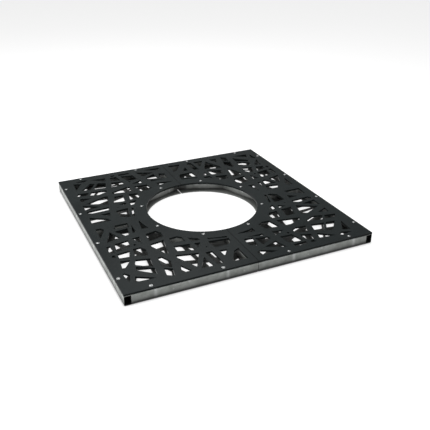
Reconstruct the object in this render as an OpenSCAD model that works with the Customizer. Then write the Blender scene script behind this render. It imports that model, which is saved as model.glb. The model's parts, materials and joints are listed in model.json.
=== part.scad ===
/* [Grate] */
// Length of each side of the square grate
grate_side = 1100; // [1000:10:1400]
// Diameter of the round opening for the trunk
trunk_opening_d = 515; // [420:5:560]
// Gap between the two halves' top plates and tubes, along the middle of the grate
seam_gap = 0.9; // [0.3:0.1:4]

/* [Plates] */
// Thickness of the top plate
top_plate_t = 8; // [5:0.5:12]
// Thickness of the lower sheet
lower_sheet_t = 2; // [2:0.5:4]
// Step back from the outer edge of the grate to the edge of the lower sheet
sheet_setback = 2; // [0:0.5:9]
// Gap between the two halves of the lower sheet
sheet_gap = 5; // [0.5:0.5:8]
// Plain margin from the outer edge of the plates to the cut pattern
outer_margin = 37.5; // [30:0.5:60]
// Plain strip between the quarters of the pattern, over the middle lines
middle_strip = 53; // [20:1:80]
// Width of the plain band round the trunk opening
ring_band = 58.5; // [45:0.5:80]

/* [Frame] */
// Height of the outer frame's tubes
outer_tube_h = 40; // [35:1:60]
// Width of the outer frame's tubes
outer_tube_w = 30; // [25:1:40]
// Height and width of the inner frame's square tubes
inner_tube_w = 30; // [24:1:35]
// Wall thickness of the tubes
tube_wall = 2; // [2:0.5:3]
// Radius of the tubes' outer corners
tube_corner_r = 4.5; // [3.5:0.5:6]
// Step back from the trunk opening's edge to the ring of tubes
ring_setback = 7.5; // [3:0.5:15]

/* [Screws] */
// Number of screws along each side of the grate
screws_per_side = 4; // [2:2:8]
// Distance from each corner to the nearest screw along the edge
screw_end_inset = 110; // [60:5:160]
// Thread diameter of the screws
screw_d = 6; // [5:1:8]
// Length of the screws under their heads
screw_length = 20; // [16:2:25]
// Diameter of the domes on the screw heads
screw_head_d = 10.5; // [9:0.5:11.5]
// Height of the screw heads, flange included
screw_head_h = 3.3; // [2.8:0.1:4.5]
// Diameter of the flange under each dome
screw_flange_d = 13.6; // [12:0.1:16]
// Thickness of that flange
screw_flange_t = 0.8; // [0.5:0.1:1.2]
// Width across the flats of the hexagon sockets
screw_socket_w = 4; // [3:0.5:5]
// Depth of the hexagon sockets
screw_socket_depth = 2; // [1:0.1:2.4]
// Clearance round the screws in the top plate
screw_clearance = 0.3; // [0.1:0.1:1]

/* [Rivet nuts] */
// Diameter of a rivet nut's body
nut_d = 9; // [8:0.5:11]
// Diameter of its countersunk head
nut_head_d = 11.5; // [10:0.5:14]
// Depth of its countersunk head
nut_head_t = 1.2; // [0.6:0.1:1.8]
// Length of the rivet nut, set in the tube
nut_length = 15; // [12:1:20]
// Diameter of the collar that grips the inside of the tube
nut_collar_d = 12.5; // [12:0.5:15]
// Thickness of that collar
nut_collar_t = 3; // [2:0.5:4]
// Clearance between the thread of a screw and its nut
thread_clearance = 0.05; // [0.02:0.01:0.2]

/* [Blind rivets] */
// Diameter of a blind rivet that holds the lower sheet
rivet_d = 4.8; // [4:0.8:6.4]
// Diameter of its countersunk head
rivet_head_d = 9; // [8:0.5:12]
// Depth of its countersunk head
rivet_head_t = 1.4; // [0.8:0.1:1.8]
// Diameter of the bulb that forms inside the tube
rivet_bulb_d = 7; // [7:0.5:9]
// Height of that bulb
rivet_bulb_h = 3; // [2:0.5:5]
// Diameter of the hollow left by the pulled mandrel
rivet_hollow_d = 2.6; // [2:0.1:3]
// Clearance round the nuts and rivets in the tubes and the sheet
rivet_clearance = 0.1; // [0.05:0.05:0.3]

/* [Hidden] */
$fn = 64;

// Finishes
anthracite = [0.20, 0.22, 0.22];
dark_sheet = [0.17, 0.17, 0.16];
galvanised = [0.62, 0.64, 0.62];
zinc = [0.78, 0.80, 0.80];

// A module is given left for the half at -X and right for the half at +X
left = 1;
right = -1;
front = -1;
rear = 1;

// Cuts run past the faces they open by this much
overrun = outer_tube_w / 3;

// Plan of the grate, about its middle
half_side = grate_side / 2;
seam_edge = seam_gap / 2;
trunk_r = trunk_opening_d / 2;
band_r = trunk_r + ring_band;
edge_line = half_side - outer_tube_w / 2;
inside_line = half_side - outer_tube_w;

// The ring of tubes is an octagon with a corner on each middle line
ring_sides = 8;
ring_step = 360 / ring_sides;
ring_half_step = ring_step / 2;
ring_line = trunk_r + ring_setback + inner_tube_w / 2;
ring_outside = ring_line + inner_tube_w / 2;
ring_corner_r = ring_outside / cos(ring_half_step);
left_ring_angles = [for (i = [0 : ring_sides / 2 - 1]) 90 + ring_half_step + i * ring_step];

// Heights, from the paving up
frame_z = lower_sheet_t;
plate_z = frame_z + outer_tube_h;
head_z = plate_z + top_plate_t;

// Distances of the edge screws from the middle of a side, in one direction
screw_row_end = half_side - screw_end_inset;
screw_steps = [for (i = [1 : 2 : screws_per_side - 1]) screw_row_end * i / (screws_per_side - 1)];

// Places of the fixings of the left half; the right half is the same, turned half round
edge_places = concat(
    [for (s = screw_steps, way = [front, rear]) [-edge_line, way * s]],
    [for (s = screw_steps, way = [front, rear]) [-s, way * edge_line]]
);
ring_places = [for (a = left_ring_angles) [ring_line * cos(a), ring_line * sin(a)]];

// Openings of one quarter of the pattern: what is left between straight strips that
// cross at random. Each corner is a share, in percent, of the quarter's side, counted from
// the outer corner: first towards the seam, then towards the middle of the side.
percent = 1 / 100;
panel_side = half_side - outer_margin - middle_strip / 2;
opening_shares = [
    // Along the side edge, from the middle line to the corner
    [[0, 100], [5, 100], [7, 96], [0, 82.5]],
    [[0, 65.5], [3.5, 66], [4, 53.5], [0, 54]],
    [[0, 49.5], [2.5, 50], [3, 46], [0, 45]],
    [[4, 39], [12, 37], [2, 23.5]],
    [[1.5, 20.5], [5, 16], [2, 7], [0, 18]],
    // Next to them
    [[18, 100], [29.5, 100], [28.5, 91.5], [15, 94]],
    [[14, 89], [26.5, 90.5], [25, 79], [21, 78]],
    [[10, 90], [15.5, 76.5], [2.5, 72.5]],
    [[8, 67.5], [20, 69.5], [19.5, 58], [15, 56.5], [6, 54.5]],
    [[5, 50.5], [16, 52], [13, 42.5], [5, 43.5]],
    [[16, 36], [27.5, 33], [26, 20], [13, 28.5]],
    [[13, 25.5], [26, 18], [25, 9], [11, 21]],
    [[8, 12.5], [22.5, 4], [5.5, 5]],
    // Through the middle of the quarter
    [[31.5, 95.5], [31.5, 80.5], [28, 80.5]],
    [[24, 71], [31, 71.5], [29.5, 60]],
    [[23.5, 61], [24.5, 59], [22.5, 58], [21.5, 59.5]],
    [[19.5, 53], [26, 53.5], [29, 48.5], [28, 38.5], [17.5, 41.5]],
    [[35.5, 55], [48, 57], [44, 34.5], [41.5, 35.5], [35, 51]],
    [[33.5, 31.5], [37, 32], [41.5, 22], [39, 13], [32, 17]],
    [[32.5, 14.5], [38.5, 11], [36.5, 0.5], [31, 4]],
    [[46, 13], [51.5, 2], [43, 2.5]],
    // Against the band round the trunk opening
    [[37.5, 84], [40, 100], [46, 100], [45.5, 83.5]],
    [[37.5, 73.5], [51.5, 76.5], [50, 63], [36.5, 60]],
    [[53.5, 57.5], [64, 59], [64.5, 47], [52, 49.5]],
    [[67.5, 56], [74, 53.5], [77, 44], [69.5, 44.5]],
    [[84.5, 45.5], [100, 43], [100, 38], [82.5, 42.5]],
    // Between the band and the front or rear edge
    [[48, 29], [67, 24.5], [57, 5.5], [48, 24.5]],
    [[52, 43.5], [65.5, 41.5], [66.5, 30], [52, 34.5]],
    [[69.5, 41], [75, 40], [70, 33]],
    [[76.5, 32], [77.5, 31], [76, 29.5]],
    [[81.5, 39], [100, 36.5], [100, 33], [96.5, 27.5], [83, 27]],
    [[72, 23], [78, 22.5], [79, 3], [76, 1], [73.5, 2.5]],
    [[68, 16.5], [70.5, 1.5], [59, 1.5]],
    [[84, 21], [90.5, 20], [84.5, 11.5]],
    [[95, 15.5], [100, 18], [100, 0], [86.5, 1]]
];

// One quarter's openings, outside the plain band, at the -X -Y corner
module quarter_openings() {
    corner = outer_margin - half_side;
    difference() {
        for (shape = opening_shares)
            polygon([for (p = shape) [corner, corner] + panel_side * percent * p]);
        circle(r = band_r);
    }
}

// Outline of the left half of the top plate and, with its edges set back, of the lower sheet
module half_plate_outline(setback, gap) {
    difference() {
        translate([setback - half_side, setback - half_side])
            square([half_side - setback - gap / 2, grate_side - 2 * setback]);
        circle(r = trunk_r);
        quarter_openings();
        rotate(-90) quarter_openings();
    }
}

// Repeats its children at the given places of one half
module at_places(places, side) {
    for (p = places)
        translate([side * p.x, side * p.y, 0]) children();
}

module rounded_rectangle(width, height, radius) {
    square([width - 2 * radius, height], center = true);
    square([width, height - 2 * radius], center = true);
    for (x = [-1, 1], y = [-1, 1])
        translate([x * (width / 2 - radius), y * (height / 2 - radius)])
            circle(r = radius);
}

// Hollow section of a tube, with its top edge at zero
module tube_section(width, height) {
    translate([0, -height / 2]) difference() {
        rounded_rectangle(width, height, tube_corner_r);
        rounded_rectangle(width - 2 * tube_wall, height - 2 * tube_wall, tube_corner_r - tube_wall);
    }
}

// A tube along Y, under the top plate, centred on the origin
module outer_stock(length) {
    translate([0, 0, plate_z]) rotate([90, 0, 0])
        linear_extrude(height = length, center = true)
            tube_section(outer_tube_w, outer_tube_h);
}

module inner_stock(length) {
    translate([0, 0, plate_z]) rotate([90, 0, 0])
        linear_extrude(height = length, center = true)
            tube_section(inner_tube_w, inner_tube_w);
}

// Hole for a rivet nut, in the top wall of a tube
module nut_hole() {
    translate([0, 0, plate_z - tube_wall - overrun])
        cylinder(d = nut_d + 2 * rivet_clearance, h = tube_wall + 2 * overrun);
    translate([0, 0, plate_z - nut_head_t])
        cylinder(d1 = nut_d, d2 = nut_head_d, h = nut_head_t);
}

// Hole for a blind rivet, through the lower sheet and the bottom wall of a tube
module rivet_hole() {
    translate([0, 0, -overrun])
        cylinder(d = rivet_d + 2 * rivet_clearance, h = overrun + frame_z + tube_wall + overrun / 2);
    cylinder(d1 = rivet_head_d, d2 = rivet_d, h = rivet_head_t);
}

module top_plate(side) {
    rotate([0, 0, side == left ? 0 : 180]) translate([0, 0, plate_z])
        linear_extrude(height = top_plate_t) difference() {
            half_plate_outline(0, seam_gap);
            at_places(concat(edge_places, ring_places), left)
                circle(d = screw_d + 2 * screw_clearance);
        }
}

module lower_sheet(side) {
    rotate([0, 0, side == left ? 0 : 180]) difference() {
        linear_extrude(height = lower_sheet_t) half_plate_outline(sheet_setback, sheet_gap);
        at_places(edge_places, left) rivet_hole();
    }
}

module outer_holes(side) {
    at_places(edge_places, side) {
        nut_hole();
        rivet_hole();
    }
}

// The side tube runs the whole length of the grate, with open ends
module side_tube(side) {
    difference() {
        translate([-side * edge_line, 0, 0]) outer_stock(grate_side);
        outer_holes(side);
    }
}

// The front and rear tubes butt against the side tubes and stop at the seam
module end_tube(side, end) {
    length = inside_line - seam_edge;
    difference() {
        translate([-side * (seam_edge + length / 2), end * edge_line, 0])
            rotate([0, 0, 90]) outer_stock(length);
        outer_holes(side);
    }
}

// What lies inside the ring's outer faces
module ring_inside() {
    translate([0, 0, -overrun])
        cylinder(r = ring_corner_r, h = head_z + overrun, $fn = ring_sides);
}

// A tube beside the seam, from the outer frame to the ring
module seam_tube(side, end) {
    length = inside_line - ring_line;
    difference() {
        translate([-side * (seam_edge + inner_tube_w / 2), end * (ring_line + length / 2), 0])
            inner_stock(length);
        ring_inside();
    }
}

// A tube on the other middle line, from the side tube to the ring
module mid_tube(side) {
    length = inside_line - ring_line;
    difference() {
        translate([-side * (ring_line + length / 2), 0, 0])
            rotate([0, 0, 90]) inner_stock(length);
        ring_inside();
    }
}

// The sector that one side of the ring fills, about +X
module ring_sector() {
    reach = ring_outside + overrun;
    half_width = reach * tan(ring_half_step);
    linear_extrude(height = head_z)
        polygon([[0, 0], [reach, -half_width], [reach, half_width]]);
}

// One side of the ring, mitred to its neighbours and cut back at the seam
module ring_tube(side, number) {
    angle = left_ring_angles[number - 1] + (side == left ? 0 : 180);
    length = 2 * ring_outside * tan(ring_half_step) + overrun;
    difference() {
        rotate([0, 0, angle]) intersection() {
            translate([ring_line, 0, 0]) inner_stock(length);
            ring_sector();
        }
        translate([-seam_edge, -half_side, 0]) cube([seam_gap, grate_side, head_z]);
        at_places(ring_places, side) nut_hole();
    }
}

// A screw with a domed and flanged head and a hexagon socket, its head on the top plate
module screw() {
    dome_h = screw_head_h - screw_flange_t;
    dome_r = (dome_h * dome_h + screw_head_d * screw_head_d / 4) / (2 * dome_h);
    tip_h = screw_d / 6;
    translate([0, 0, head_z]) difference() {
        union() {
            intersection() {
                translate([0, 0, screw_head_h - dome_r]) sphere(r = dome_r);
                cylinder(d = screw_head_d, h = screw_head_h);
            }
            cylinder(d = screw_flange_d, h = screw_flange_t);
            translate([0, 0, tip_h - screw_length])
                cylinder(d = screw_d, h = screw_length - tip_h + screw_flange_t);
            translate([0, 0, -screw_length])
                cylinder(d1 = screw_d - 2 * tip_h, d2 = screw_d, h = tip_h);
        }
        translate([0, 0, screw_head_h - screw_socket_depth])
            cylinder(d = screw_socket_w / cos(30), h = screw_head_h, $fn = 6);
    }
}

// A rivet nut set flush in the top wall of a tube
module rivet_nut() {
    bore_r = screw_d / 2 + thread_clearance;
    collar_z = -tube_wall - nut_collar_t;
    translate([0, 0, plate_z]) rotate_extrude()
        polygon([
            [bore_r, 0],
            [nut_head_d / 2, 0],
            [nut_d / 2, -nut_head_t],
            [nut_d / 2, -tube_wall],
            [nut_collar_d / 2, -tube_wall],
            [nut_collar_d / 2, collar_z],
            [nut_d / 2, collar_z],
            [nut_d / 2, -nut_length],
            [bore_r, -nut_length]
        ]);
}

// A blind rivet, flush under the lower sheet, with its bulb inside the tube
module blind_rivet() {
    grip = frame_z + tube_wall;
    hollow_r = rivet_hollow_d / 2;
    rotate_extrude()
        polygon([
            [hollow_r, 0],
            [rivet_head_d / 2, 0],
            [rivet_d / 2, rivet_head_t],
            [rivet_d / 2, grip],
            [rivet_bulb_d / 2, grip],
            [rivet_bulb_d / 2, grip + rivet_bulb_h / 2],
            [hollow_r, grip + rivet_bulb_h],
            [0, grip + rivet_bulb_h],
            [0, rivet_head_t],
            [hollow_r, rivet_head_t]
        ]);
}

module top_plate_left() { color(anthracite) top_plate(left); }
module top_plate_right() { color(anthracite) top_plate(right); }
module lower_sheet_left() { color(dark_sheet) lower_sheet(left); }
module lower_sheet_right() { color(dark_sheet) lower_sheet(right); }

module side_tube_left() { color(galvanised) side_tube(left); }
module side_tube_right() { color(galvanised) side_tube(right); }
module front_tube_left() { color(galvanised) end_tube(left, front); }
module front_tube_right() { color(galvanised) end_tube(right, front); }
module rear_tube_left() { color(galvanised) end_tube(left, rear); }
module rear_tube_right() { color(galvanised) end_tube(right, rear); }

module seam_tube_front_left() { color(galvanised) seam_tube(left, front); }
module seam_tube_front_right() { color(galvanised) seam_tube(right, front); }
module seam_tube_rear_left() { color(galvanised) seam_tube(left, rear); }
module seam_tube_rear_right() { color(galvanised) seam_tube(right, rear); }
module mid_tube_left() { color(galvanised) mid_tube(left); }
module mid_tube_right() { color(galvanised) mid_tube(right); }

module ring_tube_left_1() { color(galvanised) ring_tube(left, 1); }
module ring_tube_left_2() { color(galvanised) ring_tube(left, 2); }
module ring_tube_left_3() { color(galvanised) ring_tube(left, 3); }
module ring_tube_left_4() { color(galvanised) ring_tube(left, 4); }
module ring_tube_right_1() { color(galvanised) ring_tube(right, 1); }
module ring_tube_right_2() { color(galvanised) ring_tube(right, 2); }
module ring_tube_right_3() { color(galvanised) ring_tube(right, 3); }
module ring_tube_right_4() { color(galvanised) ring_tube(right, 4); }

module edge_screws_left() { color(zinc) at_places(edge_places, left) screw(); }
module edge_screws_right() { color(zinc) at_places(edge_places, right) screw(); }
module ring_screws_left() { color(zinc) at_places(ring_places, left) screw(); }
module ring_screws_right() { color(zinc) at_places(ring_places, right) screw(); }
module edge_nuts_left() { color(zinc) at_places(edge_places, left) rivet_nut(); }
module edge_nuts_right() { color(zinc) at_places(edge_places, right) rivet_nut(); }
module ring_nuts_left() { color(zinc) at_places(ring_places, left) rivet_nut(); }
module ring_nuts_right() { color(zinc) at_places(ring_places, right) rivet_nut(); }
module sheet_rivets_left() { color(zinc) at_places(edge_places, left) blind_rivet(); }
module sheet_rivets_right() { color(zinc) at_places(edge_places, right) blind_rivet(); }

top_plate_left();
top_plate_right();
lower_sheet_left();
lower_sheet_right();
side_tube_left();
side_tube_right();
front_tube_left();
front_tube_right();
rear_tube_left();
rear_tube_right();
seam_tube_front_left();
seam_tube_front_right();
seam_tube_rear_left();
seam_tube_rear_right();
mid_tube_left();
mid_tube_right();
ring_tube_left_1();
ring_tube_left_2();
ring_tube_left_3();
ring_tube_left_4();
ring_tube_right_1();
ring_tube_right_2();
ring_tube_right_3();
ring_tube_right_4();
edge_screws_left();
edge_screws_right();
ring_screws_left();
ring_screws_right();
edge_nuts_left();
edge_nuts_right();
ring_nuts_left();
ring_nuts_right();
sheet_rivets_left();
sheet_rivets_right();
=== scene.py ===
# %% [markdown]
# # A tree grate in two halves
#
# The grate is a square of dark coated plate with a cut pattern of crossing strips, screwed onto a
# frame of galvanised tubes. A thin lower sheet with the same pattern lies on the ground. All of
# these pieces come from the imported model, which is the fixed frame of this scene. What is left to
# do here is the finish of every surface, the weld beads that join the tubes, the floor, the lamps
# and the camera.
#
# ## Load the frame
#

# %% Load the frame
import json

import bpy
import numpy as np
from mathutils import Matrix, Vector


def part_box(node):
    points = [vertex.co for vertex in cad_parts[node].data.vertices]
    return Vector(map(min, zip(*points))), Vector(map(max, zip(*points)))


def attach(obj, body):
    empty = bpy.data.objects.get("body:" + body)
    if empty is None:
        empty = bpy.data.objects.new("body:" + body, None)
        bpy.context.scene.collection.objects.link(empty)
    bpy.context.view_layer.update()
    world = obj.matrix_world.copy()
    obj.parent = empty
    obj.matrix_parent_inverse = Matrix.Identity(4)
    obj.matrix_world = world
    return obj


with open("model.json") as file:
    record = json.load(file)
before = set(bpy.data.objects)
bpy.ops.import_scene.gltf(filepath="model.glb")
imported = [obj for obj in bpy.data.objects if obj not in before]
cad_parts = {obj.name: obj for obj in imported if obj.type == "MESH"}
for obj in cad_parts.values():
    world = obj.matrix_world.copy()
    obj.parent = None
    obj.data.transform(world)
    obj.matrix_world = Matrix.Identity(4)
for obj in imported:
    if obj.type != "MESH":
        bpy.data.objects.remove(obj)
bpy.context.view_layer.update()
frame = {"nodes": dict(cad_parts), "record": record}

# %% [markdown]
# ## Measures
#
# A piece that is added to a frame takes its place from the frame. Each value below is read from
# the box round a named node, so that a bead of weld lies where the tubes meet and not where
# somebody typed a number. Only the tubes' wall isn't the side of any box, so it is written here.

# %% Measures of the frame
MM = 0.001


def low(node):
    return np.array(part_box(node)[0])


def high(node):
    return np.array(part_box(node)[1])


HALF_SIDE = high("top_plate_right")[0]
TOP_Z = high("top_plate_left")[2]
TUBE_TOP = low("top_plate_left")[2]
SEAM_EDGE = low("seam_tube_front_right")[0]
INSIDE = HALF_SIDE - (high("side_tube_left")[0] - low("side_tube_left")[0])
OUTER_TUBE_H = high("side_tube_left")[2] - low("side_tube_left")[2]
INNER_TUBE = high("mid_tube_left")[1] - low("mid_tube_left")[1]
TUBE_WALL = 2.0 * MM
print(f"grate {2 * HALF_SIDE:.3f} m square, top at {TOP_Z:.3f} m, tubes up to {TUBE_TOP:.3f} m")

# %% [markdown]
# ## Camera
#
# The photograph was taken from the front left and from above, with a normal lens. A camera can be
# dragged into place by hand, but then its angle is hard to change by a little. Here its place is
# worked out: the point it looks at, near the middle of the grate, plus the distance along the line
# of sight. So each of the two angles can be changed without losing the target.

# %% Camera
AZIMUTH = np.radians(-25.0)
ELEVATION = np.radians(27.0)
LENS_MM = 49.92
SENSOR_MM = 36.0
DISTANCE = 2.795
TARGET = Vector((0.0533, -0.0300, 0.0))

towards_camera = Vector(
    (
        np.sin(AZIMUTH) * np.cos(ELEVATION),
        -np.cos(AZIMUTH) * np.cos(ELEVATION),
        np.sin(ELEVATION),
    )
)
camera_data = bpy.data.cameras.new("camera")
camera_data.lens = LENS_MM
camera_data.sensor_width = SENSOR_MM
camera_data.sensor_fit = "HORIZONTAL"
camera = bpy.data.objects.new("camera", camera_data)
camera.location = TARGET + towards_camera * DISTANCE
camera.rotation_euler = (-towards_camera).to_track_quat("-Z", "Y").to_euler()
bpy.context.scene.collection.objects.link(camera)
bpy.context.scene.camera = camera
print("camera at", [round(v, 3) for v in camera.location])

# %% [markdown]
# ## Surfaces from numpy
#
# The floor and the weld beads are new shapes. They could be modelled with Blender's own tools, but
# a formula says exactly what the shape is, and is easy to change. So every new piece is a grid of
# points worked out as whole arrays. One helper turns such a grid into a mesh: rows run along the
# piece, columns run round it, and the faces join each point to its neighbours. Where the columns
# close into a ring, the last column is joined to the first, and where an end of the grid is a
# pole, one point closes it with a fan.


# %% Helper: a mesh from a grid of points
def ring_faces(rows, columns, first=0):
    """Quads between neighbouring rows of a grid whose columns close into a ring."""
    row, column = np.meshgrid(np.arange(rows - 1), np.arange(columns), indexing="ij")
    after = (column + 1) % columns
    corners = [
        row * columns + column,
        row * columns + after,
        (row + 1) * columns + after,
        (row + 1) * columns + column,
    ]
    return first + np.stack(corners, axis=-1).reshape(-1, 4)


def fan_faces(pole, ring, flip):
    """Triangles from one pole to a closed ring of points, turned over if flip is true."""
    after = np.roll(ring, -1)
    pole_column = np.full_like(ring, pole)
    order = (pole_column, after, ring) if flip else (pole_column, ring, after)
    return np.stack(order, axis=-1)


def make_object(name, points, quads, triangles):
    """A smooth object at the origin whose mesh has the given points, quads and triangles."""
    mesh = bpy.data.meshes.new(name)
    mesh.from_pydata(points.tolist(), [], quads.tolist() + triangles.tolist())
    mesh.polygons.foreach_set("use_smooth", np.full(len(mesh.polygons), True))
    mesh.validate()
    mesh.update()
    made = bpy.data.objects.new(name, mesh)
    bpy.context.scene.collection.objects.link(made)
    print(f"{name}: {len(mesh.vertices)} points, {len(mesh.polygons)} faces")
    return made


# %% [markdown]
# ## Floor
#
# A product picture is taken on a sweep: a floor that curves up into a wall, so that no horizon
# shows. A plain plane would do for the view from above, but from a low angle its edge would show.
# So the floor is a surface of revolution, a flat disc that curves up all round its edge. It lies a
# hair below the grate, so that the two never share a plane.

# %% Floor
FLAT_RADIUS = 9.0
SWEEP_RADIUS = 4.0
SWEEP_ANGLE = np.radians(70.0)
FLOOR_GAP = 0.3 * MM


def make_floor(rings=48, columns=96):
    """Profile turned about Z: radius and height run flat to the sweep, then along an arc."""
    flat = np.linspace(0.0, 1.0, rings // 2 + 1)[1:] * FLAT_RADIUS
    turn = np.linspace(0.0, SWEEP_ANGLE, rings // 2 + 1)[1:]
    radius = np.concatenate([flat, FLAT_RADIUS + SWEEP_RADIUS * np.sin(turn)])
    height = np.concatenate([0.0 * flat, SWEEP_RADIUS * (1.0 - np.cos(turn))]) - FLOOR_GAP
    angle = np.linspace(0.0, 2.0 * np.pi, columns, endpoint=False)
    grid = np.stack(
        [
            radius[:, None] * np.cos(angle),
            radius[:, None] * np.sin(angle),
            np.broadcast_to(height[:, None], (len(radius), columns)),
        ],
        axis=-1,
    ).reshape(-1, 3)
    points = np.vstack([grid, [[0.0, 0.0, -FLOOR_GAP]]])
    quads = ring_faces(len(radius), columns)[:, ::-1]
    triangles = fan_faces(len(grid), np.arange(columns), flip=False)
    return make_object("floor", points, quads, triangles)


floor = make_floor()

# %% [markdown]
# ## Lamps
#
# The photograph has soft light with no hard shadow. The left faces of the tubes are the brightest
# and the front faces are at about half of that. A sun lamp would give hard shadows, and an even
# world alone would give none. So the world gives an even grey light from all sides, and four large
# soft lamps add to it. One on the left stands low, to light the left faces. One hangs overhead. One
# behind and above stands where the plate mirrors it towards the camera, which gives the dark plate
# its sheen. A weak one in front lifts the front faces.

# %% World and lamps
WORLD_LEVEL = 0.30


def make_world():
    world = bpy.data.worlds.new("world")
    world.use_nodes = True
    background = world.node_tree.nodes["Background"]
    background.inputs["Color"].default_value = (1.0, 1.0, 1.0, 1.0)
    background.inputs["Strength"].default_value = WORLD_LEVEL
    bpy.context.scene.world = world


def make_lamp(name, place, watts, width, height):
    """A soft rectangular lamp that faces the middle of the grate."""
    data = bpy.data.lights.new(name, "AREA")
    data.shape = "RECTANGLE"
    data.size = width
    data.size_y = height
    data.energy = watts
    lamp = bpy.data.objects.new(name, data)
    lamp.location = place
    lamp.rotation_euler = (-Vector(place)).to_track_quat("-Z", "Y").to_euler()
    bpy.context.scene.collection.objects.link(lamp)
    print(f"lamp {name}: {watts} W at {place}")


make_world()
make_lamp("lamp_left", place=(-3.6, 0.9, 1.6), watts=95.0, width=2.6, height=1.8)
make_lamp("lamp_top", place=(0.0, 0.3, 3.8), watts=68.0, width=2.6, height=2.6)
make_lamp("lamp_sheen", place=(0.80, 2.53, 2.64), watts=17.5, width=1.6, height=1.2)
make_lamp("lamp_front", place=(-0.8, -3.4, 2.2), watts=30.0, width=2.6, height=1.8)

bpy.context.scene.view_settings.view_transform = "Standard"

# %% [markdown]
# ## Material helpers
#
# A node tree reads more easily when each line adds one node and names what feeds it. The small
# class below keeps a tree, adds nodes, and links a socket or sets a plain value. All patterns read
# Object coordinates: the pieces lie at the origin, so one metre of pattern is one metre of grate.
# Two facts about the nodes are named first. Noise seldom leaves a middle band of its range, so a
# pattern stretches that band to get its full contrast. And the Mix node has a set of sockets for
# each kind of data, so its colour sockets are reached by their numbers.

# %% Helper: a material's node tree
NOISE_BAND = (0.35, 0.65)
COLOUR_A, COLOUR_B, COLOUR_OUT = 6, 7, 2
STEEP_NORMAL, LEVEL_NORMAL = 0.3, 0.7


class Finish:
    """A material with a Principled shader and short calls to build patterns for it."""

    def __init__(self, name, **uniform):
        self.material = bpy.data.materials.new(name)
        self.material.use_nodes = True
        self.tree = self.material.node_tree
        self.shader = self.tree.nodes["Principled BSDF"]
        for socket, value in uniform.items():
            self.shader.inputs[socket.replace("_", " ")].default_value = value
        self.place = self.tree.nodes.new("ShaderNodeTexCoord").outputs["Object"]

    def add(self, kind, **settings):
        node = self.tree.nodes.new("ShaderNode" + kind)
        for key, value in settings.items():
            setattr(node, key, value)
        return node

    def feed(self, socket, value):
        """Links an output to the socket, or sets the plain value on it."""
        if isinstance(value, bpy.types.NodeSocket):
            self.tree.links.new(value, socket)
        else:
            socket.default_value = value

    def stretched(self, x, y, z):
        """Object coordinates, scaled differently along each axis."""
        node = self.add("Mapping")
        self.feed(node.inputs["Vector"], self.place)
        node.inputs["Scale"].default_value = (x, y, z)
        return node.outputs["Vector"]

    def noise(self, scale, detail, roughness=0.5, place=None):
        """A cloudy grey value: scale in clouds per metre, detail in finer layers over them."""
        node = self.add("TexNoise")
        self.feed(node.inputs["Vector"], place or self.place)
        node.inputs["Scale"].default_value = scale
        node.inputs["Detail"].default_value = detail
        node.inputs["Roughness"].default_value = roughness
        return node.outputs["Fac"]

    def cells(self, scale):
        """A random grey value for each cell of a broken-up surface."""
        node = self.add("TexVoronoi")
        self.feed(node.inputs["Vector"], self.place)
        node.inputs["Scale"].default_value = scale
        split = self.add("SeparateColor")
        self.feed(split.inputs["Color"], node.outputs["Color"])
        return split.outputs["Red"]

    def spread(self, value, from_low, from_high, to_low=0.0, to_high=1.0):
        """Stretches a value from one range to another, and holds it at the ends."""
        node = self.add("MapRange")
        self.feed(node.inputs["Value"], value)
        limits = {"From Min": from_low, "From Max": from_high, "To Min": to_low, "To Max": to_high}
        for socket, limit in limits.items():
            node.inputs[socket].default_value = limit
        return node.outputs["Result"]

    def between(self, share, first, second):
        """A value between two others, for a share from 0 to 1."""
        return self.spread(share, 0.0, 1.0, first, second)

    def ramp(self, value, stops):
        """Grey between stops, each a pair of a value from 0 to 1 and the grey at it."""
        node = self.add("ValToRGB")
        self.feed(node.inputs["Fac"], value)
        elements = node.color_ramp.elements
        for position, grey in stops[1:-1]:
            elements.new(position)
        for element, (position, grey) in zip(elements, stops):
            element.position = position
            element.color = (grey, grey, grey, 1.0)
        return node.outputs["Color"]

    def math(self, operation, *values):
        node = self.add("Math", operation=operation)
        for socket, value in zip(node.inputs, values):
            self.feed(socket, value)
        return node.outputs["Value"]

    def blend(self, share, first, second):
        """A colour between two others. Each is a colour (r, g, b) or an output."""
        node = self.add("Mix", data_type="RGBA")
        self.feed(node.inputs["Factor"], share)
        for number, colour in ((COLOUR_A, first), (COLOUR_B, second)):
            linked = isinstance(colour, bpy.types.NodeSocket)
            self.feed(node.inputs[number], colour if linked else (*colour, 1.0))
        return node.outputs[COLOUR_OUT]

    def shade(self, colour, grey):
        """A colour multiplied by a grey."""
        node = self.add("Mix", data_type="RGBA", blend_type="MULTIPLY")
        node.inputs["Factor"].default_value = 1.0
        self.feed(node.inputs[COLOUR_A], colour)
        self.feed(node.inputs[COLOUR_B], grey)
        return node.outputs[COLOUR_OUT]

    def bump(self, height, distance, strength, under=None):
        """Normals as if the surface rose by up to the distance, over another bump if given."""
        node = self.add("Bump")
        node.inputs["Strength"].default_value = strength
        node.inputs["Distance"].default_value = distance
        self.feed(node.inputs["Height"], height)
        if under is not None:
            self.feed(node.inputs["Normal"], under)
        return node.outputs["Normal"]

    def parts(self, vector):
        """The X, Y and Z of a vector, as outputs under these names."""
        split = self.add("SeparateXYZ")
        self.feed(split.inputs["Vector"], vector)
        return split.outputs

    def upright(self):
        """One on vertical faces, zero on level ones, from the height of the true normal."""
        normal = self.parts(self.add("NewGeometry").outputs["True Normal"])
        level = self.math("ABSOLUTE", normal["Z"])
        return self.spread(level, STEEP_NORMAL, LEVEL_NORMAL, 1.0, 0.0)

    def finish(self, colour, roughness, normal):
        self.feed(self.shader.inputs["Base Color"], colour)
        self.feed(self.shader.inputs["Roughness"], roughness)
        self.feed(self.shader.inputs["Normal"], normal)
        print(f"{self.material.name}: {len(self.tree.nodes)} nodes")
        return self.material
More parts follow.
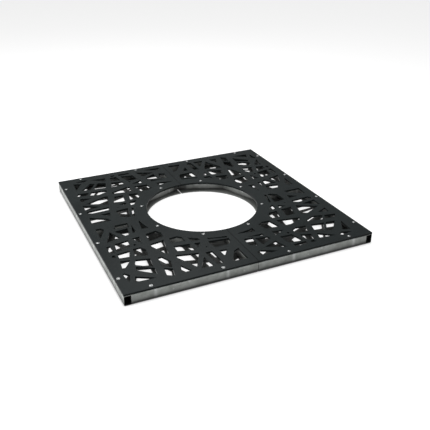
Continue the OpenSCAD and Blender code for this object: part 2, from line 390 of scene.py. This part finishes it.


# %% [markdown]
# ## Floor finish
#
# The picture's ground is white but still takes a soft shadow. A floor that only glows would show no
# shadow, and a floor that is only lit wouldn't be white. So the floor is a grey diffuse surface,
# which carries the shadow, plus its own light. The light path node tells camera rays and
# reflections apart from the rays that gather light, so only the first two see the added white. The
# gathering rays also meet a darker grey, so that the floor throws little light up onto the tubes
# and under the plate. The added white would wash out the contact shadow where a tube's foot meets
# the floor. So it is multiplied by how open the floor is within a short reach, which the ambient
# occlusion node gives: a painted contact shadow in the floor's own light.

# %% Floor finish
FLOOR_GREY = 0.50
FLOOR_BOUNCE_GREY = 0.12
FLOOR_GLOW = 0.72
FOOT_SHADOW_REACH = 10.0 * MM
FOOT_SAMPLES = 8


def floor_finish():
    ground = Finish("white_floor", Roughness=1.0, Specular_IOR_Level=0.0)
    rays = ground.add("LightPath").outputs
    seen = ground.math("MAXIMUM", rays["Is Camera Ray"], rays["Is Glossy Ray"])
    seen = ground.math("MAXIMUM", seen, rays["Is Transmission Ray"])
    # Painted contact shadow: the floor's glow is darkened close to the tubes' feet.
    openness = ground.add("AmbientOcclusion", samples=FOOT_SAMPLES)
    openness.inputs["Distance"].default_value = FOOT_SHADOW_REACH
    sockets = ground.shader.inputs
    ground.feed(sockets["Base Color"], ground.between(seen, FLOOR_BOUNCE_GREY, FLOOR_GREY))
    ground.feed(sockets["Emission Strength"], ground.math("MULTIPLY", seen, FLOOR_GLOW))
    ground.feed(sockets["Emission Color"], openness.outputs["Color"])
    print(f"{ground.material.name}: {len(ground.tree.nodes)} nodes")
    return ground.material


floor.data.materials.append(floor_finish())

# %% [markdown]
# ## Coated plate
#
# The top plate is powder coated in anthracite. One flat colour would look like plastic, because
# such a coat is satin, with a fine orange peel and a slight cloudiness. Noise at three scales gives
# these: wide clouds, a fine speckle and the bumps of the peel. The plate was cut by a laser, which
# leaves fine upright lines on the cut faces that show through the coat. The cut faces are picked
# out by their normal and get those lines. Close to the plane where the two halves meet, the coat is
# painted darker, as the shade in the seam between them.

# %% Coated plate
COAT_CLOUDS = ((0.0122, 0.0155, 0.0158), (0.0162, 0.0204, 0.0207))
COAT_SPECKLE = (0.0235, 0.0285, 0.0288)
CUT_FACE = (0.0138, 0.0168, 0.0171)
COAT_GRAIN_BAND = (0.3, 0.7)
COAT_GRAIN_SHARE = 0.35
COAT_ROUGHNESS = (0.28, 0.34)
LINE_STRETCH = 0.04
# Painted shade in the seam: darkest within the core, back to the full coat at the outer reach.
SEAM_CORE = 0.5 * MM
SEAM_SHADE_REACH = 2.0 * MM
SEAM_SHADE = 0.1


def coated_plate():
    coat = Finish("anthracite_coat", Specular_IOR_Level=0.055)
    clouds = coat.spread(coat.noise(scale=5.0, detail=4.0), *NOISE_BAND)
    grain = coat.spread(coat.noise(scale=1400.0, detail=2.0), *COAT_GRAIN_BAND)
    tone = coat.blend(clouds, *COAT_CLOUDS)
    speckled = coat.blend(coat.math("MULTIPLY", grain, COAT_GRAIN_SHARE), tone, COAT_SPECKLE)
    upright = coat.upright()
    coated = coat.blend(upright, speckled, CUT_FACE)
    # Painted shade: the coat darkens close to the seam between the halves.
    off_seam = coat.math("ABSOLUTE", coat.parts(coat.place)["X"])
    colour = coat.shade(coated, coat.spread(off_seam, SEAM_CORE, SEAM_SHADE_REACH, SEAM_SHADE, 1.0))
    roughness = coat.between(clouds, *COAT_ROUGHNESS)
    peel = coat.bump(coat.noise(scale=420.0, detail=2.0), distance=0.12 * MM, strength=0.6)
    lines = coat.noise(scale=900.0, detail=1.0, place=coat.stretched(1.0, 1.0, LINE_STRETCH))
    cut_lines = coat.math("MULTIPLY", lines, upright)
    cut = coat.bump(cut_lines, distance=0.15 * MM, strength=0.7, under=peel)
    return coat.finish(colour, roughness, cut)


# %% [markdown]
# ## Lower sheet
#
# The lower sheet lies on the ground, under the openings, where fine dust settles. A picture of dust
# could be laid over it, but noise has no repeats and no edge, so patches of noise give a paler and
# rougher skin. The rim round the trunk opening is painted a paler grey, as light that falls on it
# through the opening. It is found by its distance from the middle of the grate, measured in plan:
# the height is scaled to nothing. Further out, under the plate, the sheet is painted darker, as the
# shade under the plate.

# %% Lower sheet
# Painted light on the rim round the trunk opening, fading out to painted shade under the plate.
RIM_EDGE = 262.0 * MM
RIM_END = 310.0 * MM
UNDER_PLATE_PAINTED_SHADE = 0.33
SHEET_CLOUDS = ((0.190, 0.200, 0.192), (0.250, 0.258, 0.247))
DUST = (0.335, 0.342, 0.325)
DUST_BAND = (0.45, 0.70)
DUST_SHARE = 0.5
DUST_ROUGHNESS = (0.50, 0.75)


def coated_sheet():
    coat = Finish("dusty_coat", Specular_IOR_Level=0.25)
    clouds = coat.spread(coat.noise(scale=9.0, detail=4.0), *NOISE_BAND)
    dust = coat.spread(coat.noise(scale=26.0, detail=6.0, roughness=0.65), *DUST_BAND)
    tone = coat.blend(clouds, *SHEET_CLOUDS)
    dusty = coat.blend(coat.math("MULTIPLY", dust, DUST_SHARE), tone, DUST)
    from_middle = coat.add("VectorMath", operation="LENGTH")
    coat.feed(from_middle.inputs["Vector"], coat.stretched(1.0, 1.0, 0.0))
    reach = from_middle.outputs["Value"]
    # Painted light and shade: full colour at the rim, darker under the plate.
    colour = coat.shade(dusty, coat.spread(reach, RIM_EDGE, RIM_END, 1.0, UNDER_PLATE_PAINTED_SHADE))
    roughness = coat.between(dust, *DUST_ROUGHNESS)
    grit = coat.bump(coat.noise(scale=700.0, detail=3.0), distance=0.10 * MM, strength=0.6)
    return coat.finish(colour, roughness, grit)


# %% [markdown]
# ## Galvanised tube
#
# Hot-dip zinc is a matt grey with a spangle: crystals a centimetre or so across, each a little
# lighter or darker than its neighbours, which the cells of a Voronoi pattern give. Where the zinc
# ran off the tube it leaves paler upright runs, which come back at even steps along the tube, with
# a pale spot or two between them. A measured step repeated by a node keeps them on the tube without
# a painted picture. A weathered skin covers the metal, so the shader is only partly metallic.

# %% Zinc colours, and its pale runs and spots
ZINC_CLOUDS = ((0.222, 0.238, 0.220), (0.430, 0.450, 0.432))
PALE_ZINC = (0.56, 0.58, 0.57)
DARK_ZINC = (0.20, 0.21, 0.19)
RUN_ZINC = (0.60, 0.62, 0.61)
# Painted shade: the near black of the shade inside the side tubes.
BORE_PAINTED_SHADE = (0.004, 0.004, 0.004)
RUN_STEP = 294.5 * MM
RUN_START = 90.5 * MM
RUN_WIDTH = 11.0 * MM
RUN_WOBBLE = 8.0 * MM
RUN_STRENGTH = 0.95
# Each spot: how far past a run, height above the ground, radius, strength
SPOTS = ((69.0 * MM, 22.0 * MM, 6.0 * MM, 1.0), (134.0 * MM, 36.0 * MM, 10.0 * MM, 0.7))


def shaded(colour, shade):
    return tuple(shade * channel for channel in colour)


def pale_marks(zinc, place):
    """How pale: nearness to the closest run, or to a spot, measured along and up the tube."""
    wobble = zinc.math("MULTIPLY", zinc.noise(scale=14.0, detail=3.0), RUN_WOBBLE)
    along = zinc.math("ADD", zinc.math("ADD", place["X"], place["Y"]), RUN_START)
    shifted = zinc.math("ADD", along, wobble)
    step = zinc.math("PINGPONG", shifted, RUN_STEP / 2.0)
    pale = zinc.spread(step, 0.0, RUN_WIDTH, RUN_STRENGTH, 0.0)
    since_run = zinc.math("WRAP", shifted, RUN_STEP, 0.0)
    for after, height, radius, strength in SPOTS:
        away = zinc.math("ABSOLUTE", zinc.math("SUBTRACT", since_run, after))
        above = zinc.math("ABSOLUTE", zinc.math("SUBTRACT", place["Z"], height))
        distance = zinc.math("ADD", away, above)
        pale = zinc.math("MAXIMUM", pale, zinc.spread(distance, 0.0, radius, strength, 0.0))
    return pale


# %% [markdown]
# ### Painted shade and light
#
# The zinc is painted lighter or darker from place to place, as light and shade fall on it. Towards
# the foot of the tubes it is painted darker, as the shade near the ground, and this fades upwards.
# Beside the seam the tubes are painted darker, as the shade in and near the seam. A ramp gives
# each: a stop is a share of the grate's height, or of the seam's reach, and the grey that the zinc
# is multiplied by. A grey above 1 lightens it: close under the plate the zinc is painted paler, as
# light on the upper part of the tubes. Faces that look to the middle of the grate get painted
# shade, as they lie in the shade under the plate. The bore of the side tubes is painted near black,
# as the shade inside the tube. Both are told apart by their place, which needs no splitting of the
# tubes' faces. The test for the bore reaches a little into the wall, to be sure of it.

# %% Painted shade and light by height, at the seam, on inward faces and in the bores
INTO_WALL = 0.5 * MM
INWARD_SHADE_EDGE = 4.0 * MM
# Painted shade towards the foot and painted light near the top: share of height, grey.
OUTER_PAINTED_SHADE_AND_LIGHT = (
    (0.00, 0.08),
    (0.14, 0.10),
    (0.18, 0.16),
    (0.23, 0.34),
    (0.30, 0.58),
    (0.36, 0.72),
    (0.46, 0.87),
    (0.62, 0.99),
    (0.74, 1.24),
)
# The inner tubes' painted shade and light by height, in the same form.
INNER_PAINTED_SHADE_AND_LIGHT = ((0.24, 0.30), (0.35, 0.50), (0.48, 0.74), (0.62, 1.12), (0.75, 1.40))
# Painted shade beside the seam: share of the seam's reach, grey.
SEAM_PAINTED_SHADE = ((0.10, 0.25), (0.52, 0.36), (0.64, 1.0))
OUTER_SEAM_SHADE_REACH = 2.5 * MM
INNER_SEAM_SHADE_REACH = 60.0 * MM
# Painted shade on faces that look to the middle of the grate, under the plate.
INWARD_PAINTED_SHADE = 0.40
SIDE_TUBE_LOW = low("side_tube_right")
SIDE_TUBE_HIGH = high("side_tube_right")


def tube_bore(zinc, place):
    """One on the inner faces of both side tubes, zero elsewhere."""
    middle = (SIDE_TUBE_LOW + SIDE_TUBE_HIGH) / 2.0
    reach = (SIDE_TUBE_HIGH - SIDE_TUBE_LOW) / 2.0 - TUBE_WALL + INTO_WALL
    across = zinc.math("SUBTRACT", zinc.math("ABSOLUTE", place["X"]), middle[0])
    upward = zinc.math("SUBTRACT", place["Z"], middle[2])
    near_x = zinc.math("LESS_THAN", zinc.math("ABSOLUTE", across), reach[0])
    near_z = zinc.math("LESS_THAN", zinc.math("ABSOLUTE", upward), reach[2])
    return zinc.math("MULTIPLY", near_x, near_z)


def inward_shade(zinc, place):
    """Painted shade on faces that look to the middle of the grate, one on its outer faces."""
    from_middle = zinc.math(
        "MAXIMUM", zinc.math("ABSOLUTE", place["X"]), zinc.math("ABSOLUTE", place["Y"])
    )
    middle = (INSIDE + HALF_SIDE) / 2.0
    return zinc.spread(from_middle, middle - INWARD_SHADE_EDGE, middle, INWARD_PAINTED_SHADE, 1.0)


def with_painted_shade(zinc, fresh, place, height_shading, seam_shade_reach):
    """A colour times painted shade and light by height, at the seam and on inward faces."""
    painted_shade_colour = zinc.shade(fresh, zinc.ramp(zinc.math("DIVIDE", place["Z"], TOP_Z), height_shading))
    # Painted shade near the seam between the halves.
    off_seam = zinc.math("DIVIDE", zinc.math("ABSOLUTE", place["X"]), seam_shade_reach)
    painted_shade_colour = zinc.shade(painted_shade_colour, zinc.ramp(off_seam, SEAM_PAINTED_SHADE))
    return zinc.shade(painted_shade_colour, inward_shade(zinc, place))


# %% [markdown]
# ### The zinc itself
#
# Outer and inner tubes share one recipe, called with other values, so that a change to the zinc
# reaches them all. From the bottom up it is clouds, crystals, a fine dark speckle, the pale marks,
# and last the painted shade and light, which multiply whatever lies under them.

# %% Galvanised tube
ZINC_CLOUD_BAND = (0.74, 1.26)
SPANGLE_SHARE = 0.22
SPECKLE_BAND = (0.45, 0.75)
SPECKLE_SHARE = 0.35
ZINC_ROUGHNESS = (0.42, 0.58)


def galvanised(name, shade, height_shading, seam_shade_reach):
    """Zinc in a given shade, pale marks, painted shade and light, and bores painted near black."""
    zinc = Finish(name, Metallic=0.25, Specular_IOR_Level=0.4)
    place = zinc.parts(zinc.place)
    spangle = zinc.cells(scale=75.0)
    fine = zinc.noise(scale=160.0, detail=4.0, roughness=0.6)
    large = zinc.noise(scale=11.0, detail=4.0)
    small = zinc.noise(scale=34.0, detail=3.0)
    clouds = zinc.spread(zinc.math("ADD", large, small), *ZINC_CLOUD_BAND)
    tone = zinc.blend(clouds, *(shaded(cloud, shade) for cloud in ZINC_CLOUDS))
    glint = zinc.math("MULTIPLY", spangle, SPANGLE_SHARE)
    crystals = zinc.blend(glint, tone, shaded(PALE_ZINC, shade))
    speckle = zinc.spread(fine, *SPECKLE_BAND, 0.0, SPECKLE_SHARE)
    speckled = zinc.blend(speckle, crystals, shaded(DARK_ZINC, shade))
    marked = zinc.blend(pale_marks(zinc, place), speckled, shaded(RUN_ZINC, shade))
    painted_shade_colour = with_painted_shade(zinc, marked, place, height_shading, seam_shade_reach)
    # The side tubes' bores are painted near black, as shade inside the tube.
    colour = zinc.blend(tube_bore(zinc, place), painted_shade_colour, BORE_PAINTED_SHADE)
    roughness = zinc.between(spangle, *ZINC_ROUGHNESS)
    skin = zinc.bump(zinc.noise(scale=240.0, detail=3.0), distance=0.15 * MM, strength=0.5)
    return zinc.finish(colour, roughness, skin)


# %% [markdown]
# ## Screws and fixings
#
# The screws are stainless, with a turned dome that is brighter than the zinc beside it. The nuts
# and rivets inside the tubes are zinc plated, a duller and slightly yellow metal. A metal this
# small shows little pattern of its own: it looks like what it mirrors. So a full metallic shader
# with a little smear in its colour and roughness is enough, and the two differ only in values.

# %% Screws and fixings
STEEL_TONES = ((0.44, 0.45, 0.45), (0.60, 0.61, 0.61))
STEEL_ROUGHNESS = (0.22, 0.34)
PLATING_TONES = ((0.52, 0.52, 0.48), (0.66, 0.67, 0.64))
PLATING_ROUGHNESS = (0.35, 0.50)


def stainless():
    steel = Finish("stainless_dome", Metallic=1.0)
    smear = steel.spread(steel.noise(scale=300.0, detail=3.0), *NOISE_BAND)
    colour = steel.blend(smear, *STEEL_TONES)
    roughness = steel.between(smear, *STEEL_ROUGHNESS)
    turned = steel.bump(steel.noise(scale=1800.0, detail=2.0), distance=0.03 * MM, strength=0.4)
    return steel.finish(colour, roughness, turned)


def zinc_plate():
    plate = Finish("zinc_plating", Metallic=0.9)
    smear = plate.spread(plate.noise(scale=420.0, detail=3.0), *NOISE_BAND)
    colour = plate.blend(smear, *PLATING_TONES)
    roughness = plate.between(smear, *PLATING_ROUGHNESS)
    skin = plate.bump(plate.noise(scale=1500.0, detail=2.0), distance=0.04 * MM, strength=0.5)
    return plate.finish(colour, roughness, skin)


# %% [markdown]
# ## Finishes onto the frame's pieces
#
# The record says which material slot each node has. A table from slot to finish dresses all the
# nodes of one kind at once, and a node that is added later is dressed without a new line here.
# Only the inner tubes differ. They all lie in the inward part, whose painted shade would leave them
# too dark, so their own shade lifts them part of the way back, to a painted shade of six tenths of
# the outer zinc. Their painted shade by height and near the seam also reaches further.

# %% Dress the nodes
FINISHES = {
    "coated_plate": coated_plate(),
    "coated_sheet": coated_sheet(),
    "galvanised_tube": galvanised("galvanised_zinc", 1.0, OUTER_PAINTED_SHADE_AND_LIGHT, OUTER_SEAM_SHADE_REACH),
    "stainless_screws": stainless(),
    "zinc_fixings": zinc_plate(),
}
# The inner zinc's shade times the inward painted shade leaves it at six tenths of the outer zinc,
# as shade under the plate.
INNER_SHADE = 1.50
SHADED_INNER_ZINC = galvanised("zinc_painted_shade", INNER_SHADE, INNER_PAINTED_SHADE_AND_LIGHT, INNER_SEAM_SHADE_REACH)
INNER_TUBES = ("ring_tube", "seam_tube", "mid_tube")


def dress(node, material):
    slots = frame["nodes"][node].material_slots
    if not slots:
        frame["nodes"][node].data.materials.append(material)
    for slot in slots:
        slot.material = material


for part in frame["record"]["subparts"]:
    inner = part["node"].startswith(INNER_TUBES)
    dress(part["node"], SHADED_INNER_ZINC if inner else FINISHES[part["material_slot"]])

# %% [markdown]
# ## Weld beads
#
# The tubes are welded where they meet. A bead is a small rounded ridge with ripples, one for each
# time the welder's pool froze. It follows the corner between two tubes: down one side of the tube,
# along under it and up the other side, but not over the top, which is ground flat for the plate.
# So the path is three sides of a rectangle with round corners. Where two outer tubes meet in an
# inside corner, it is a straight line.

# %% Path of a bead round three sides of a tube
BEAD_R = 2.0 * MM
RIPPLE = 1.6 * MM
CORNER_R = 4.5 * MM
PATH_POINTS = 180
ARC_POINTS = 12


def three_sides(half_width, height, corner):
    """Side, arc, underside, arc, side: points at even steps along the five stretches."""
    turn = np.linspace(0.0, np.pi / 2.0, ARC_POINTS)
    arc_x = half_width - corner + corner * np.cos(turn)
    arc_z = -height + corner - corner * np.sin(turn)
    right_x = np.concatenate([[half_width], arc_x])
    right_z = np.concatenate([[0.0], arc_z])
    outline_x = np.concatenate([right_x, -right_x[::-1]])
    outline_z = np.concatenate([right_z, right_z[::-1]])
    steps = np.hypot(np.diff(outline_x), np.diff(outline_z))
    run = np.concatenate([[0.0], np.cumsum(steps)])
    even = np.linspace(0.0, run[-1], PATH_POINTS)
    return np.interp(even, run, outline_x), np.interp(even, run, outline_z), even


def one_side(height):
    """A straight path from the top of a corner to its foot: zero across, an even step down."""
    even = np.linspace(0.0, height, PATH_POINTS // 3)
    return 0.0 * even, -even, even


print(f"bead {2 * BEAD_R / MM:.1f} mm wide, a ripple each {RIPPLE / MM:.1f} mm")

# %% [markdown]
# ### A bead along its path
#
# A curve object with a round bevel would make an even cord. A bead isn't even: it swells and
# shrinks with each ripple, and closes to a blunt point at both ends. So it is a circle carried
# along the path, whose radius is the bead's own, times the ripple, times the taper of the ends.
# The last two are arrays with a value for each point of the path.

# %% Sweep of a bead along its path
BEAD_SIDES = 8
RIPPLE_DEPTH = 0.10
TAPER_LENGTH = 1.5 * BEAD_R
BLUNT_END = 0.05


def bead_points(path, origin, across):
    """Circle carried along the path: radius = bead radius x ripple x taper at both ends."""
    x, z, run = path
    centre = np.outer(x, across) + np.outer(z, [0.0, 0.0, 1.0]) + origin
    along = np.gradient(centre, axis=0)
    along /= np.linalg.norm(along, axis=1, keepdims=True)
    out = np.cross(across, [0.0, 0.0, 1.0])
    side = np.cross(along, out)
    ripple = 1.0 + RIPPLE_DEPTH * np.abs(np.sin(np.pi * run / RIPPLE)) - RIPPLE_DEPTH / 2.0
    ends = np.minimum(run, run[-1] - run) / TAPER_LENGTH
    taper = np.sqrt(np.clip(ends * (2.0 - np.minimum(ends, 1.0)), 0.0, 1.0))
    radius = BEAD_R * ripple * np.maximum(taper, BLUNT_END)
    angle = np.linspace(0.0, 2.0 * np.pi, BEAD_SIDES, endpoint=False)
    ring = np.cos(angle)[None, :, None] * out + np.sin(angle)[None, :, None] * side[:, None, :]
    return centre[:, None, :] + radius[:, None, None] * ring


def join_beads(name, beads):
    """One mesh from many beads, each a closed tube with a pole at both ends."""
    points, quads, triangles, first = [], [], [], 0
    for grid in beads:
        rows, columns = grid.shape[:2]
        ends = np.stack([grid[0].mean(axis=0), grid[-1].mean(axis=0)])
        points.append(np.vstack([grid.reshape(-1, 3), ends]))
        start, end = first + rows * columns, first + rows * columns + 1
        quads.append(ring_faces(rows, columns, first)[:, ::-1])
        ring = np.arange(columns)
        triangles.append(fan_faces(start, first + ring, flip=False))
        triangles.append(fan_faces(end, first + (rows - 1) * columns + ring, flip=True))
        first += rows * columns + 2
    return make_object(name, np.vstack(points), np.vstack(quads), np.vstack(triangles))


# %% [markdown]
# ### Where the beads lie
#
# The joints of one half follow from the frame. The tube beside the seam meets the end tube at the
# front and at the rear, the middle tube meets the side tube, the ring's sides meet each other, and
# the end tubes meet the side tube in an inside corner. Placing each bead by hand would take as many
# lines as there are joints. Here one function makes a half's beads from a side of -1 or 1, and so
# the halves mirror each other. Each set of beads rides on its own half, so that it moves with it.

# %% Joints of one half
RING_STEP = np.pi / 4.0
RING_OUTSIDE = high("ring_tube_right_2")[0] * np.cos(RING_STEP / 2.0)
RING_LINE = RING_OUTSIDE - INNER_TUBE / 2.0


def half_beads(side):
    """Beads of the half on one side, -1 for left and 1 for right."""
    around = three_sides(INNER_TUBE / 2.0, INNER_TUBE, CORNER_R)
    mitre = three_sides(INNER_TUBE / 2.0 / np.cos(RING_STEP / 2.0), INNER_TUBE, CORNER_R)
    seam_x = side * (SEAM_EDGE + INNER_TUBE / 2.0)
    corner = one_side(OUTER_TUBE_H - CORNER_R)
    beads = [bead_points(around, [side * INSIDE, 0.0, TUBE_TOP], [0.0, 1.0, 0.0])]
    for end in (-1.0, 1.0):
        beads.append(bead_points(around, [seam_x, end * INSIDE, TUBE_TOP], [1.0, 0.0, 0.0]))
        inside = [side * INSIDE, end * INSIDE, TUBE_TOP]
        beads.append(bead_points(corner, inside, [side, 0.0, 0.0]))
    for turn in np.array([-1.0, 0.0, 1.0]) * RING_STEP:
        outward = np.array([side * np.cos(turn), np.sin(turn), 0.0])
        middle = outward * RING_LINE / np.cos(RING_STEP / 2.0) + [0.0, 0.0, TUBE_TOP]
        beads.append(bead_points(mitre, middle, outward))
    print(len(beads), "beads on side", side)
    return beads


for word, side in (("left", -1.0), ("right", 1.0)):
    welds = join_beads(f"weld_beads_{word}", half_beads(side))
    welds.data.materials.append(SHADED_INNER_ZINC)
    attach(welds, f"{word}_half")
